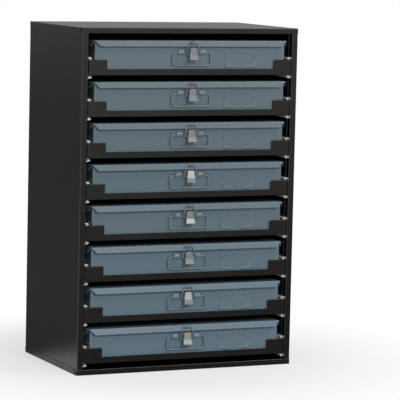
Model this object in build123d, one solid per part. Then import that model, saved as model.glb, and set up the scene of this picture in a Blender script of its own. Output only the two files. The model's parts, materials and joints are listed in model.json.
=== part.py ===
from build123d import *
import os

# A tall bench cabinet of folded sheet steel. It holds a column of shallow lidded cases, and each case
# rides in its own pull-out tray on a pair of steel slides.
#
# Frame: millimetres. X runs to the right, Y to the back and Z up. The origin is the middle of the
# cabinet's footprint, on the surface that it stands on. Pieces are drawn with y = 0 on the front
# plane of the cabinet and are moved back to the origin when they are written.

# ---- Carrying case: body, lid, dividers ----
DRAWER_COUNT = 8
CASE_WIDTH = 455.5
CASE_DEPTH = 304.0
CASE_HEIGHT = 74.4  # underside of the body to the top of the closed lid
CASE_SHEET = 0.9
CASE_CORNER = 2.5  # outside radius of the body's upright corners
CASE_SETBACK = 3.4  # case front behind the cabinet's front plane
DIVIDER_COUNT = 2
DIVIDER_SHEET = 0.9
DIVIDER_DROP = 7.1  # top of the dividers below the top of the body
LID_SHEET = 0.9
LID_SEAT_GAP = 0.1
LID_FRONT_OVERHANG = 4.0
LID_SIDE_OVERHANG = 2.5
LID_BEND = 1.5
SKIRT_ROOT = 4.5  # flat of a skirt's strip that lies in the lid's top
SKIRT_DROP = 12.2
SKIRT_FLARE = 5.4
SKIRT_NOTCH = 1.8  # relief between neighbouring skirts at a corner

# ---- Lid hinge at the back of the case ----
HINGE_PIN_RADIUS = 1.0
HINGE_KNUCKLE_RADIUS = 2.2
HINGE_LEAF_SHEET = 0.8
HINGE_LEAF_WIDTH = 12.0  # edge of a leaf to the middle of the pin
HINGE_END_GAP = 17.75  # end of the hinge to the side of the case
HINGE_KNUCKLES = 7
KNUCKLE_GAP = 0.4
RUNNING_CLEARANCE = 0.05  # on the radius of every turning fit

# ---- Tray that carries a case ----
TRAY_SHEET = 1.2
TRAY_BEND = 2.0
TRAY_SIDE_GAP = 4.35  # tray wall to case, each side
TRAY_REAR_GAP = 5.4  # case body to the tray's rear wall
TRAY_WALL_HEIGHT = 30.0
CASE_SEAT_GAP = 0.2
LIP_HEIGHT = 13.6
LIP_GAP = 2.4  # end of the lip to the side flange of the cabinet
TAB_WIDTH = 42.7
TAB_RISE = 4.0  # top of the tabs above the tray's side walls
TAB_CORNER = 3.0
LIP_CORNER = 1.2  # radius at the lip's outer corners
LIP_EDGE = 0.96  # radius of the bend under the lip

# ---- Drawer slides ----
SLIDE_SHEET = 1.4
SLIDE_THICKNESS = 12.7
SLIDE_FRONT_GAP = 0.2  # side panel's hemmed flange to the front of the slide
SLIDE_REAR_GAP = 11.3  # end of the slide to the back of the tray
SLIDE_BEND = 3.0
OUTER_RAIL_HEIGHT = 45.7
OUTER_RAIL_GAP = 2.1  # lips of the cabinet rail to the tray wall
OUTER_RAIL_LIP = 3.9
BALL_ROOM = 4.95  # between the two rails, above and below
INNER_RAIL_DROP = 0.15  # foot of the tray rail below the tray's underside
INNER_RAIL_GAP = 3.6  # edges of the tray rail to the web of the cabinet rail

# ---- Cabinet shell ----
PANEL_SHEET = 1.2
PANEL_BEND = 1.9
DRAWER_GAP = 14.3  # lid to the tray above it
TOP_GAP = 15.7  # uppermost lid to the top panel's front flange
BOTTOM_GAP = 13.2  # bottom panel's front flange to the lowest tray
TOP_FLANGE = 12.3
BOTTOM_FLANGE = 12.2
SIDE_FLANGE = 13.9
HEM_LENGTH = 5.0
HEM_GAP = 0.1
SIDE_LAP = 13.0  # height of the top and bottom panels' laps over the side panels
LAP_SETBACK = 10.0
LAP_CORNER = 6.0
PANEL_SEAM = 0.15
BACK_SHEET = 1.2
REAR_ROOM = 7.6  # tray to the back panel
JOINING_HOLE_RADIUS = 2.0
JOINING_HOLE_INSET = 11.0  # behind the front edge of the post, in its hollow
UPPER_HOLE_DROP = 28.0
LOWER_HOLE_HEIGHT = 91.0

# ---- Upright posts behind the slides, and fasteners ----
POST_SHEET = 1.2
POST_DEPTH = 11.5
POST_WIDTH = 25.0
POST_FOOT = 8.0
POST_BEND = 1.6
FRONT_POST_SETBACK = 20.0
REAR_POST_INSET = 7.7  # post to the rear end of the slides
SCREW_SHANK_RADIUS = 2.0
SCREW_HEAD_RADIUS = 3.6
SCREW_HEAD_HEIGHT = 1.8
SCREW_HOLE_CLEARANCE = 0.1
SCREW_LENGTH = 6.0
BACK_SCREW_COUNT = 4  # along each rear flange

# ---- Latch plate with its sockets and ears ----
PLATE_SHEET = 1.0
PLATE_HEIGHT = 21.0
PLATE_RISE = 3.0  # top of the plate above the latch pin
PLATE_MARGIN = 5.0  # plate beyond the handle sockets
PLATE_CORNER = 8.0
SOCKET_INNER = 18.4  # from the middle of the case
SOCKET_LENGTH = 11.6
SOCKET_SHEET = 1.2
SOCKET_GAP = 0.1  # back of the socket to the case front
EAR_SHEET = 1.2
EAR_GAP = 0.9  # ear to lever cheek
EAR_MARGIN = 1.6  # ear around the latch pin
LATCH_PIN_RADIUS = 1.3
LATCH_PIN_DROP = 21.0  # below the top of the lid
LATCH_PIN_INSET = 0.5  # behind the edge of the lid's front skirt

# ---- Latch lever: distances up and forward are taken from the latch pin ----
LEVER_SHEET = 1.0
LEVER_BEND = 4.0
LEVER_RISE = 6.0
LEVER_CREASE_DROP = 10.7
LEVER_BOTTOM_DROP = 20.5
LEVER_TOP_WIDTH = 13.5
LEVER_BOTTOM_WIDTH = 21.0
LEVER_TOP_REACH = 3.5
LEVER_CREASE_REACH = 4.7
LEVER_BOTTOM_REACH = 9.0
CHEEK_DROP = 11.0
CHEEK_BACK = 2.3
CHEEK_BACK_HALF = 2.0  # half the height of the cheek's straight rear edge
CHEEK_TOP_REACH = 0.7

# ---- Latch bail and the lid's catch: distances forward are taken from the latch pin ----
BAIL_WIRE_RADIUS = 1.1
BAIL_BEND = 2.6
BAIL_PIVOT_DROP = 8.5  # below the latch pin
BAIL_PIVOT_REACH = 1.4
BAIL_EAR_GAP = 3.05  # ear to the bail's leg
BAIL_HOOK = 0.6  # end of the wire inside the cheek
BAIL_BULGE_RISE = 4.0  # above the latch pin
BAIL_BULGE_REACH = 3.1
BAIL_BULGE_SPREAD = 0.9
BAIL_TOP_DROP = 3.0  # below the top of the lid
BAIL_TOP_INSET = 0.3  # behind the latch pin
BAIL_TOP_HALF_WIDTH = 7.6
CATCH_SHEET = 1.2
CATCH_END_GAP = 2.1  # side of the catch to the bail's corner
CATCH_GAP = 0.3
CATCH_LIP_DROP = 0.7  # top of the catch's lip below the middle of the bail wire

# ---- Carrying handle ----
HANDLE_WIRE_RADIUS = 1.6
HANDLE_WIDTH = 94.3
HANDLE_PIVOT_DROP = 5.7  # below the latch pin
HANDLE_DROP = 27.6
HANDLE_BEND = 6.6
HANDLE_END_GAP = 0.6  # end of the wire inside the socket

# ---- Label holder: four pressed corners ----
LABEL_LEFT = 81.6  # from the middle of the case
LABEL_WIDTH = 74.8
LABEL_LIFT = 15.2  # above the underside of the case
LABEL_HEIGHT = 37.0
LUG_LENGTH = 25.4
LUG_HEIGHT = 14.0
LUG_ARM = 5.0
LUG_CORNER = 4.0
LUG_RELIEF = 1.3
LUG_BEVEL = 0.78

# ---- Places that follow from the sizes above ----
HEM_DEPTH = 2 * PANEL_SHEET + HEM_GAP
HEM_BEND = PANEL_SHEET + HEM_GAP / 4
HEMMED_BENDS = [HEM_BEND, HEM_BEND, PANEL_BEND, PANEL_BEND]
CASE_FLOOR = TRAY_SHEET + CASE_SEAT_GAP
LID_TOP = CASE_FLOOR + CASE_HEIGHT
BODY_TOP = LID_TOP - LID_SHEET - LID_SEAT_GAP
CASE_BACK = CASE_SETBACK + CASE_DEPTH
LID_FRONT = CASE_SETBACK - LID_FRONT_OVERHANG
SKIRT_EDGE = LID_FRONT - SKIRT_FLARE  # lower edge of the lid's front skirt
LID_HALF = CASE_WIDTH / 2 + LID_SIDE_OVERHANG
HINGE_LENGTH = CASE_WIDTH - 2 * HINGE_END_GAP
HINGE_PIN_Y = CASE_BACK + HINGE_KNUCKLE_RADIUS
HINGE_PIN_Z = LID_TOP + HINGE_LEAF_SHEET - HINGE_KNUCKLE_RADIUS
TRAY_HALF = CASE_WIDTH / 2 + TRAY_SIDE_GAP + TRAY_SHEET
TRAY_BACK = CASE_BACK + TRAY_REAR_GAP + TRAY_SHEET
TAB_HEIGHT = TRAY_WALL_HEIGHT + TAB_RISE
SLIDE_PLANE = TRAY_HALF + SLIDE_THICKNESS  # outer face of the slides, on the posts
SLIDE_SETBACK = HEM_DEPTH + SLIDE_FRONT_GAP
SLIDE_END = TRAY_BACK - SLIDE_REAR_GAP
OUTER_RAIL_EDGE = TRAY_HALF + OUTER_RAIL_GAP
INNER_RAIL_EDGE = SLIDE_PLANE - SLIDE_SHEET - INNER_RAIL_GAP
INNER_RAIL_HEIGHT = OUTER_RAIL_HEIGHT - 2 * (SLIDE_SHEET + BALL_ROOM)
SLIDE_CENTRE = INNER_RAIL_HEIGHT / 2 - INNER_RAIL_DROP
PANEL_INSIDE = SLIDE_PLANE + POST_DEPTH
PANEL_OUTSIDE = PANEL_INSIDE + PANEL_SHEET
LAP_OUTSIDE = PANEL_OUTSIDE + PANEL_SHEET
LIP_HALF = PANEL_OUTSIDE - SIDE_FLANGE - LIP_GAP
DRAWER_PITCH = LID_TOP + DRAWER_GAP
FIRST_TRAY_HEIGHT = BOTTOM_FLANGE + BOTTOM_GAP
LAST_LID_TOP = FIRST_TRAY_HEIGHT + (DRAWER_COUNT - 1) * DRAWER_PITCH + LID_TOP
CABINET_WIDTH = 2 * LAP_OUTSIDE
CABINET_DEPTH = TRAY_BACK + REAR_ROOM + BACK_SHEET + PANEL_SHEET
CABINET_HEIGHT = LAST_LID_TOP + TOP_GAP + TOP_FLANGE
JOINING_HOLE_SETBACK = FRONT_POST_SETBACK + JOINING_HOLE_INSET
POST_SETBACKS = [FRONT_POST_SETBACK, SLIDE_END - REAR_POST_INSET - POST_WIDTH]
SCREW_SETBACKS = [setback + POST_WIDTH / 2 for setback in POST_SETBACKS]
SCREW_HOLE_RADIUS = SCREW_SHANK_RADIUS + SCREW_HOLE_CLEARANCE
LATCH_PIN_Y = SKIRT_EDGE + LATCH_PIN_INSET
LATCH_PIN_Z = LID_TOP - LATCH_PIN_DROP
EAR_START = LEVER_TOP_WIDTH / 2 + EAR_GAP
EAR_END = EAR_START + EAR_SHEET
BAIL_PIVOT_Y = LATCH_PIN_Y - BAIL_PIVOT_REACH
BAIL_PIVOT_Z = LATCH_PIN_Z - BAIL_PIVOT_DROP
BAIL_TOP_Y = LATCH_PIN_Y + BAIL_TOP_INSET
BAIL_TOP_Z = LID_TOP - BAIL_TOP_DROP
BAIL_LEG_HALF_WIDTH = EAR_END + BAIL_EAR_GAP + BAIL_WIRE_RADIUS
LEVER_CHEEK = LEVER_TOP_WIDTH / 2
SOCKET_RADIUS = HANDLE_WIRE_RADIUS + SOCKET_SHEET
SOCKET_OUTER = SOCKET_INNER + SOCKET_LENGTH
HANDLE_Y = CASE_SETBACK - SOCKET_GAP - SOCKET_RADIUS
HANDLE_Z = LATCH_PIN_Z - HANDLE_PIVOT_DROP

TRAY_HEIGHTS = [FIRST_TRAY_HEIGHT + n * DRAWER_PITCH for n in reversed(range(DRAWER_COUNT))]


# ---- Helpers ----
OVERCUT = 1.0  # how far a cut runs past the face that it opens


def block(x0, x1, y0, y1, z0, z1):
    """A box between two corners."""
    centre = Pos((x0 + x1) / 2, (y0 + y1) / 2, (z0 + z1) / 2)
    return centre * Box(x1 - x0, y1 - y0, z1 - z0)


def both_sides(shape):
    """A shape and its mirror image across the middle of the cabinet."""
    return [shape, mirror(shape, about=Plane.YZ)]


def bent_face(points, sheet, bend, side=Side.RIGHT):
    """The section of a folded sheet whose outer face follows the points; bend is one radius or a list."""
    outer = FilletPolyline(*points, radius=bend)
    return make_face(offset(outer, amount=sheet, side=side).edges())


def along_x(face, x0, x1):
    """A section drawn as (y, z), extruded from x0 to x1."""
    upright = Plane(origin=(x0, 0, 0), x_dir=(0, 1, 0), z_dir=(1, 0, 0))
    return extrude(upright * face, amount=x1 - x0)


def along_y(face, y0, y1):
    """A section drawn as (x, z), extruded from y0 to y1."""
    upright = Plane(origin=(0, y0, 0), x_dir=(1, 0, 0), z_dir=(0, -1, 0))
    return extrude(upright * face, amount=y0 - y1)


def along_z(face, z0, z1):
    """A section drawn as (x, y), extruded from z0 to z1."""
    return extrude(Plane.XY.offset(z0) * face, amount=z1 - z0)


def rod_x(radius, x0, x1, y, z):
    """A round bar along X."""
    return Pos((x0 + x1) / 2, y, z) * Rot(0, 90, 0) * Cylinder(radius, x1 - x0)


def rod_y(radius, x, y0, y1, z):
    """A round bar along Y."""
    return Pos(x, (y0 + y1) / 2, z) * Rot(90, 0, 0) * Cylinder(radius, y1 - y0)


def wire(points, bend, radius):
    """A round wire bent through the points."""
    route = FilletPolyline(*points, radius=bend)
    start = Plane(origin=points[0], z_dir=Vector(*points[1]) - Vector(*points[0]))
    return sweep(start * Circle(radius), path=route)


# ---- Cabinet shell ----
def flanged_panel(flange, sign):
    """The top or bottom panel, hemmed at its front flange, with z = 0 on its outer face."""
    points = [
        (HEM_DEPTH, sign * (flange - HEM_LENGTH)),
        (HEM_DEPTH, sign * flange),
        (0, sign * flange),
        (0, 0),
        (CABINET_DEPTH, 0),
        (CABINET_DEPTH, sign * flange),
    ]
    side = Side.LEFT if sign > 0 else Side.RIGHT
    return along_x(bent_face(points, PANEL_SHEET, HEMMED_BENDS, side), -PANEL_OUTSIDE, PANEL_OUTSIDE)


def side_lap(sign):
    """A lap of the top or bottom panel over the right side panel, with z = 0 on the panel's outer face."""
    points = [(SLIDE_PLANE, 0), (LAP_OUTSIDE, 0), (LAP_OUTSIDE, sign * SIDE_LAP)]
    side = Side.RIGHT if sign < 0 else Side.LEFT
    section = bent_face(points, PANEL_SHEET, PANEL_BEND, side)
    lap = along_y(section, LAP_SETBACK, CABINET_DEPTH - LAP_SETBACK)
    ends = lap.edges().filter_by(Axis.X).group_by(SortBy.LENGTH)[0]
    rounded = [e for e in ends if abs(e.center().Z - sign * SIDE_LAP) < PANEL_SHEET]
    return fillet(rounded, LAP_CORNER)


def top_panel():
    shell = flanged_panel(TOP_FLANGE, -1)
    for lap in both_sides(side_lap(-1)):
        shell += lap
    return Pos(0, 0, CABINET_HEIGHT) * shell


def bottom_panel():
    shell = flanged_panel(BOTTOM_FLANGE, 1)
    for lap in both_sides(side_lap(1)):
        shell += lap
    return shell


def side_panel():
    """The right side panel: flanged front and back, and hemmed at the front opening."""
    flange_end = PANEL_OUTSIDE - SIDE_FLANGE
    points = [
        (flange_end + HEM_LENGTH, HEM_DEPTH),
        (flange_end, HEM_DEPTH),
        (flange_end, 0),
        (PANEL_OUTSIDE, 0),
        (PANEL_OUTSIDE, CABINET_DEPTH),
        (flange_end, CABINET_DEPTH),
    ]
    section = bent_face(points, PANEL_SHEET, HEMMED_BENDS, Side.LEFT)
    end = PANEL_BEND + PANEL_SEAM
    panel = along_z(section, end, CABINET_HEIGHT - end)
    low = BOTTOM_FLANGE + PANEL_SEAM
    high = CABINET_HEIGHT - TOP_FLANGE - PANEL_SEAM
    inboard = flange_end - OVERCUT
    front_room = HEM_DEPTH + PANEL_SEAM
    rear_room = CABINET_DEPTH - PANEL_BEND - PANEL_SEAM
    for z0, z1 in ((0, low), (high, CABINET_HEIGHT)):
        panel -= block(inboard, LAP_OUTSIDE, -OVERCUT, front_room, z0, z1)
        panel -= block(inboard, LAP_OUTSIDE, rear_room, CABINET_DEPTH + OVERCUT, z0, z1)
    start = PANEL_INSIDE - OVERCUT
    for height in (LOWER_HOLE_HEIGHT, CABINET_HEIGHT - UPPER_HOLE_DROP):
        panel -= rod_x(JOINING_HOLE_RADIUS, start, LAP_OUTSIDE, JOINING_HOLE_SETBACK, height)
    return panel


def back_screw_places():
    """Centres (x, z) of the screws through the rear flanges and the back panel."""
    side_x = PANEL_OUTSIDE - SIDE_FLANGE / 2
    low = BOTTOM_FLANGE / 2
    high = CABINET_HEIGHT - TOP_FLANGE / 2
    places = []
    for n in range(BACK_SCREW_COUNT):
        share = (n + 0.5) / BACK_SCREW_COUNT
        across = (2 * share - 1) * PANEL_INSIDE
        places += [(across, low), (across, high)]
        places += [(-side_x, share * CABINET_HEIGHT), (side_x, share * CABINET_HEIGHT)]
    return places


def drill_back(shape):
    """Cuts the back panel's screw holes through a piece."""
    start = CABINET_DEPTH - PANEL_SHEET - BACK_SHEET - OVERCUT
    for x, z in back_screw_places():
        shape -= rod_y(SCREW_HOLE_RADIUS, x, start, CABINET_DEPTH + OVERCUT, z)
    return shape


def back_panel():
    half = PANEL_OUTSIDE - PANEL_BEND - PANEL_SEAM
    outer_face = CABINET_DEPTH - PANEL_SHEET
    low = PANEL_BEND + PANEL_SEAM
    panel = block(-half, half, outer_face - BACK_SHEET, outer_face, low, CABINET_HEIGHT - low)
    return drill_back(panel)


def back_screws():
    screws = []
    for x, z in back_screw_places():
        shank = rod_y(SCREW_SHANK_RADIUS, x, CABINET_DEPTH - SCREW_LENGTH, CABINET_DEPTH, z)
        head = rod_y(SCREW_HEAD_RADIUS, x, CABINET_DEPTH, CABINET_DEPTH + SCREW_HEAD_HEIGHT, z)
        rim = head.edges().sort_by(Axis.Y)[-1]
        screws.append(shank + fillet(rim, SCREW_HEAD_HEIGHT / 2))
    return screws


# ---- Posts, slides and their screws ----
def post(setback):
    """A right-hand upright of hat section, drawn from its front foot."""
    web = SLIDE_PLANE + POST_SHEET
    near = setback + POST_SHEET
    far = setback + POST_WIDTH - POST_SHEET
    points = [
        (PANEL_INSIDE, setback - POST_FOOT),
        (PANEL_INSIDE, near),
        (web, near),
        (web, far),
        (PANEL_INSIDE, far),
        (PANEL_INSIDE, setback + POST_WIDTH + POST_FOOT),
    ]
    section = bent_face(points, POST_SHEET, POST_BEND, Side.LEFT)
    shape = along_z(section, PANEL_SHEET, CABINET_HEIGHT - PANEL_SHEET)
    middle = setback + POST_WIDTH / 2
    for height in TRAY_HEIGHTS:
        centre = height + SLIDE_CENTRE
        shape -= rod_x(SCREW_HOLE_RADIUS, SLIDE_PLANE - OVERCUT, web + OVERCUT, middle, centre)
    return shape


def slide_posts():
    posts = []
    for setback in POST_SETBACKS:
        posts += both_sides(post(setback))
    return posts


def outer_rail():
    """The right-hand cabinet member of a slide: a channel with turned-in lips, open to the tray."""
    web = SLIDE_PLANE
    edge = OUTER_RAIL_EDGE
    low = SLIDE_CENTRE - OUTER_RAIL_HEIGHT / 2
    high = SLIDE_CENTRE + OUTER_RAIL_HEIGHT / 2
    points = [
        (edge, high - OUTER_RAIL_LIP),
        (edge, high),
        (web, high),
        (web, low),
        (edge, low),
        (edge, low + OUTER_RAIL_LIP),
    ]
    rail = along_y(bent_face(points, SLIDE_SHEET, SLIDE_BEND), SLIDE_SETBACK, SLIDE_END)
    start = web - SLIDE_SHEET - OVERCUT
    for y in SCREW_SETBACKS:
        rail -= rod_x(SCREW_HOLE_RADIUS, start, web + OVERCUT, y, SLIDE_CENTRE)
    return rail


def inner_rail():
    """The right-hand tray member of a slide: a channel on the tray wall, open to the cabinet."""
    edge = INNER_RAIL_EDGE
    low = SLIDE_CENTRE - INNER_RAIL_HEIGHT / 2
    high = SLIDE_CENTRE + INNER_RAIL_HEIGHT / 2
    points = [(edge, high), (TRAY_HALF, high), (TRAY_HALF, low), (edge, low)]
    section = bent_face(points, SLIDE_SHEET, SLIDE_BEND, Side.LEFT)
    return along_y(section, SLIDE_SETBACK, SLIDE_END)


def rail_screw(y):
    """A right-hand slide screw through the rail's web and the post."""
    seat = SLIDE_PLANE - SLIDE_SHEET
    shank = rod_x(SCREW_SHANK_RADIUS, seat, seat + SCREW_LENGTH, y, SLIDE_CENTRE)
    head = rod_x(SCREW_HEAD_RADIUS, seat - SCREW_HEAD_HEIGHT, seat, y, SLIDE_CENTRE)
    rim = head.edges().sort_by(Axis.X)[0]
    return shank + fillet(rim, SCREW_HEAD_HEIGHT / 2)


def outer_rails(sign):
    rail = outer_rail() if sign > 0 else mirror(outer_rail(), about=Plane.YZ)
    return [Pos(0, 0, height) * rail for height in TRAY_HEIGHTS]


def rail_screws():
    screws = []
    for y in SCREW_SETBACKS:
        for screw in both_sides(rail_screw(y)):
            screws += [Pos(0, 0, height) * screw for height in TRAY_HEIGHTS]
    return screws


# ---- Tray ----
def lip_outline():
    """The tray's front lip as (x, z): low in the middle, with a tall tab at each end."""
    tab_start = LIP_HALF - TAB_WIDTH
    outline = Polyline(
        (-LIP_HALF, 0),
        (LIP_HALF, 0),
        (LIP_HALF, TAB_HEIGHT),
        (tab_start, TAB_HEIGHT),
        (tab_start, LIP_HEIGHT),
        (-tab_start, LIP_HEIGHT),
        (-tab_start, TAB_HEIGHT),
        (-LIP_HALF, TAB_HEIGHT),
        close=True,
    )
    face = make_face(outline)
    tab_tops = face.vertices().group_by(Axis.Y)[-1]
    face = fillet(tab_tops.sort_by(Axis.X)[1:3], TAB_CORNER)
    ends = face.vertices().group_by(Axis.X)
    return fillet(ends[0] + ends[-1], LIP_CORNER)


def tray_channel():
    """The tray's folded sheet: a floor with a wall along each side."""
    points = [
        (-TRAY_HALF, TRAY_WALL_HEIGHT),
        (-TRAY_HALF, 0),
        (TRAY_HALF, 0),
        (TRAY_HALF, TRAY_WALL_HEIGHT),
    ]
    section = bent_face(points, TRAY_SHEET, TRAY_BEND, Side.LEFT)
    return along_y(section, TRAY_SHEET, TRAY_BACK - TRAY_SHEET)


def tray_lip():
    """The front plate, welded across the front of the folded sheet."""
    lip = along_y(lip_outline(), 0, TRAY_SHEET)
    front_edges = lip.edges().filter_by(Axis.X).group_by(Axis.Y)[0]
    return fillet(front_edges.group_by(Axis.Z)[0], LIP_EDGE)


def tray_rear():
    """The low rear wall, welded across the back of the folded sheet."""
    half = TRAY_HALF - TRAY_BEND
    return block(-half, half, TRAY_BACK - TRAY_SHEET, TRAY_BACK, 0, LIP_HEIGHT)


def tray_parts():
    return [tray_channel(), tray_lip(), tray_rear()] + both_sides(inner_rail())


# ---- Case ----
def label_lug():
    """The upper left pressed corner of the label holder, as (x, z) from its outer corner."""
    outline = Polyline(
        (0, 0),
        (LUG_LENGTH, 0),
        (LUG_LENGTH, -LUG_ARM),
        (LUG_ARM + LUG_CORNER, -LUG_ARM),
        (LUG_ARM, -LUG_ARM - LUG_CORNER),
        (LUG_ARM, -LUG_HEIGHT),
        (0, -LUG_HEIGHT),
        close=True,
    )
    return make_face(outline)


def label_lugs():
    """Four pressed corners on the case front, each turned towards the label."""
    lug = along_y(label_lug(), CASE_SETBACK - LUG_RELIEF, CASE_SETBACK)
    lug = chamfer(lug.faces().sort_by(Axis.Y)[0].edges(), LUG_BEVEL)
    low = CASE_FLOOR + LABEL_LIFT
    lugs = []
    for corner, x in ((lug, LABEL_LEFT), (mirror(lug, about=Plane.YZ), LABEL_LEFT + LABEL_WIDTH)):
        lugs.append(Pos(x, 0, low + LABEL_HEIGHT) * corner)
        lugs.append(Pos(x, 0, low) * mirror(corner, about=Plane.XY))
    return lugs


def hinge_spans():
    """The x range of each hinge knuckle, from left to right."""
    step = HINGE_LENGTH / HINGE_KNUCKLES
    start = -HINGE_LENGTH / 2
    return [(start + n * step, start + (n + 1) * step - KNUCKLE_GAP) for n in range(HINGE_KNUCKLES)]


def hinge_leaf(leaf, spans):
    """One leaf of the piano hinge with its share of the knuckles."""
    bore_radius = HINGE_PIN_RADIUS + RUNNING_CLEARANCE
    half = HINGE_LENGTH / 2 + OVERCUT
    for x0, x1 in hinge_spans():
        start = x0 - KNUCKLE_GAP
        end = x1 + KNUCKLE_GAP
        room = HINGE_KNUCKLE_RADIUS
        if (x0, x1) in spans:
            leaf += rod_x(HINGE_KNUCKLE_RADIUS, x0, x1, HINGE_PIN_Y, HINGE_PIN_Z)
        else:
            leaf -= block(start, end, CASE_BACK, HINGE_PIN_Y + room, HINGE_PIN_Z - room, HINGE_PIN_Z + room)
    return leaf - rod_x(bore_radius, -half, half, HINGE_PIN_Y, HINGE_PIN_Z)


def case_leaf():
    """The upright leaf on the back of the case."""
    half = HINGE_LENGTH / 2
    rear = CASE_BACK + HINGE_LEAF_SHEET
    leaf = block(-half, half - KNUCKLE_GAP, CASE_BACK, rear, HINGE_PIN_Z - HINGE_LEAF_WIDTH, HINGE_PIN_Z)
    return hinge_leaf(leaf, hinge_spans()[0::2])


def lid_leaf():
    """The flat leaf on top of the lid."""
    half = HINGE_LENGTH / 2
    front = HINGE_PIN_Y - HINGE_LEAF_WIDTH
    leaf = block(-half, half - KNUCKLE_GAP, front, HINGE_PIN_Y, LID_TOP, LID_TOP + HINGE_LEAF_SHEET)
    return hinge_leaf(leaf, hinge_spans()[1::2])


def case_shell():
    """The case body: an open steel box with pressed label corners."""
    centre = Pos(0, CASE_SETBACK + CASE_DEPTH / 2)
    inside_width = CASE_WIDTH - 2 * CASE_SHEET
    inside_depth = CASE_DEPTH - 2 * CASE_SHEET
    outer = centre * RectangleRounded(CASE_WIDTH, CASE_DEPTH, CASE_CORNER)
    inner = centre * RectangleRounded(inside_width, inside_depth, CASE_CORNER - CASE_SHEET)
    shell = along_z(outer, CASE_FLOOR, BODY_TOP)
    shell -= along_z(inner, CASE_FLOOR + CASE_SHEET, BODY_TOP + OVERCUT)
    for lug in label_lugs():
        shell += lug
    return shell


def case_dividers():
    """Upright sheets that part the case into bays from side to side."""
    low = CASE_FLOOR + CASE_SHEET
    bay = (CASE_WIDTH - 2 * CASE_SHEET - DIVIDER_COUNT * DIVIDER_SHEET) / (DIVIDER_COUNT + 1)
    start = -CASE_WIDTH / 2 + CASE_SHEET
    dividers = []
    for n in range(DIVIDER_COUNT):
        x0 = start + (n + 1) * bay + n * DIVIDER_SHEET
        y0 = CASE_SETBACK + CASE_SHEET
        y1 = CASE_BACK - CASE_SHEET
        dividers.append(block(x0, x0 + DIVIDER_SHEET, y0, y1, low, BODY_TOP - DIVIDER_DROP))
    return dividers


def latch_ear():
    """The right ear: it stands out of the latch plate and holds one end of the latch pin."""
    radius = LATCH_PIN_RADIUS + EAR_MARGIN
    ear = rod_x(radius, EAR_START, EAR_END, LATCH_PIN_Y, LATCH_PIN_Z)
    back = CASE_SETBACK - PLATE_SHEET
    ear += block(EAR_START, EAR_END, LATCH_PIN_Y, back, LATCH_PIN_Z - radius, LATCH_PIN_Z + radius)
    bore = rod_x(LATCH_PIN_RADIUS, EAR_START - OVERCUT, EAR_END + OVERCUT, LATCH_PIN_Y, LATCH_PIN_Z)
    return ear - bore


def latch_plate():
    """The plate on the case front with the two handle sockets and the two latch ears."""
    middle = LATCH_PIN_Z + PLATE_RISE - PLATE_HEIGHT / 2
    width = 2 * (SOCKET_OUTER + PLATE_MARGIN)
    outline = Pos(0, middle) * RectangleRounded(width, PLATE_HEIGHT, PLATE_CORNER)
    plate = along_y(outline, CASE_SETBACK - PLATE_SHEET, CASE_SETBACK)
    socket = rod_x(SOCKET_RADIUS, SOCKET_INNER, SOCKET_OUTER, HANDLE_Y, HANDLE_Z)
    for piece in both_sides(socket) + both_sides(latch_ear()):
        plate += piece
    bore_radius = HANDLE_WIRE_RADIUS + RUNNING_CLEARANCE
    bore = rod_x(bore_radius, SOCKET_INNER - OVERCUT, SOCKET_OUTER + OVERCUT, HANDLE_Y, HANDLE_Z)
    for cut in both_sides(bore):
        plate -= cut
    return plate


def latch_pin():
    return rod_x(LATCH_PIN_RADIUS, -EAR_END, EAR_END, LATCH_PIN_Y, LATCH_PIN_Z)


def case_parts():
    return [case_shell()] + case_dividers() + [latch_plate(), latch_pin(), case_leaf()]


# ---- Lid ----
def lid_skirt_section(edge, sign):
    """A lid edge as (outward distance, z): flat, bend and flared skirt."""
    inboard = edge - sign * SKIRT_ROOT
    points = [(inboard, LID_TOP), (edge, LID_TOP), (edge + sign * SKIRT_FLARE, LID_TOP - SKIRT_DROP)]
    side = Side.RIGHT if sign > 0 else Side.LEFT
    return bent_face(points, LID_SHEET, LID_BEND, side)


def corner_cut(edge, sign):
    """A triangle that cuts a skirt's end back at 45 degrees below the bend."""
    high = LID_TOP - LID_BEND
    low = LID_TOP - SKIRT_DROP - OVERCUT
    inboard = edge - sign * (high - low)
    outboard = edge + sign * OVERCUT
    return make_face(Polyline((edge, high), (inboard, low), (outboard, low), (outboard, high), close=True))


def front_skirt():
    end = LID_HALF - SKIRT_NOTCH
    skirt = along_x(lid_skirt_section(LID_FRONT, -1), -end, end)
    reach = SKIRT_FLARE + OVERCUT
    for sign in (-1, 1):
        skirt -= along_y(corner_cut(sign * end, sign), LID_FRONT - reach, LID_FRONT + reach)
    return skirt


def side_skirt():
    front = LID_FRONT + SKIRT_NOTCH
    rear = CASE_BACK - SKIRT_NOTCH
    skirt = along_y(lid_skirt_section(LID_HALF, 1), front, rear)
    reach = SKIRT_FLARE + OVERCUT
    for y, sign in ((front, -1), (rear, 1)):
        skirt -= along_x(corner_cut(y, sign), LID_HALF - reach, LID_HALF + reach)
    return skirt


def lid_catch():
    """The hooked tongue, welded to the front skirt, that the bail pulls on."""
    shelf_top = BAIL_TOP_Z - BAIL_WIRE_RADIUS - CATCH_GAP
    lip_top = BAIL_TOP_Z - CATCH_LIP_DROP
    lip_face = BAIL_TOP_Y - BAIL_WIRE_RADIUS - CATCH_GAP
    slope = SKIRT_FLARE / SKIRT_DROP
    root_top = LID_FRONT - slope * (LID_TOP - shelf_top)
    root_foot = root_top - slope * CATCH_SHEET
    outline = Polyline(
        (root_top, shelf_top),
        (lip_face, shelf_top),
        (lip_face, lip_top),
        (lip_face - CATCH_SHEET, lip_top),
        (lip_face - CATCH_SHEET, shelf_top - CATCH_SHEET),
        (root_foot, shelf_top - CATCH_SHEET),
        close=True,
    )
    half_width = BAIL_TOP_HALF_WIDTH - CATCH_END_GAP
    return along_x(make_face(outline), -half_width, half_width)


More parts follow.
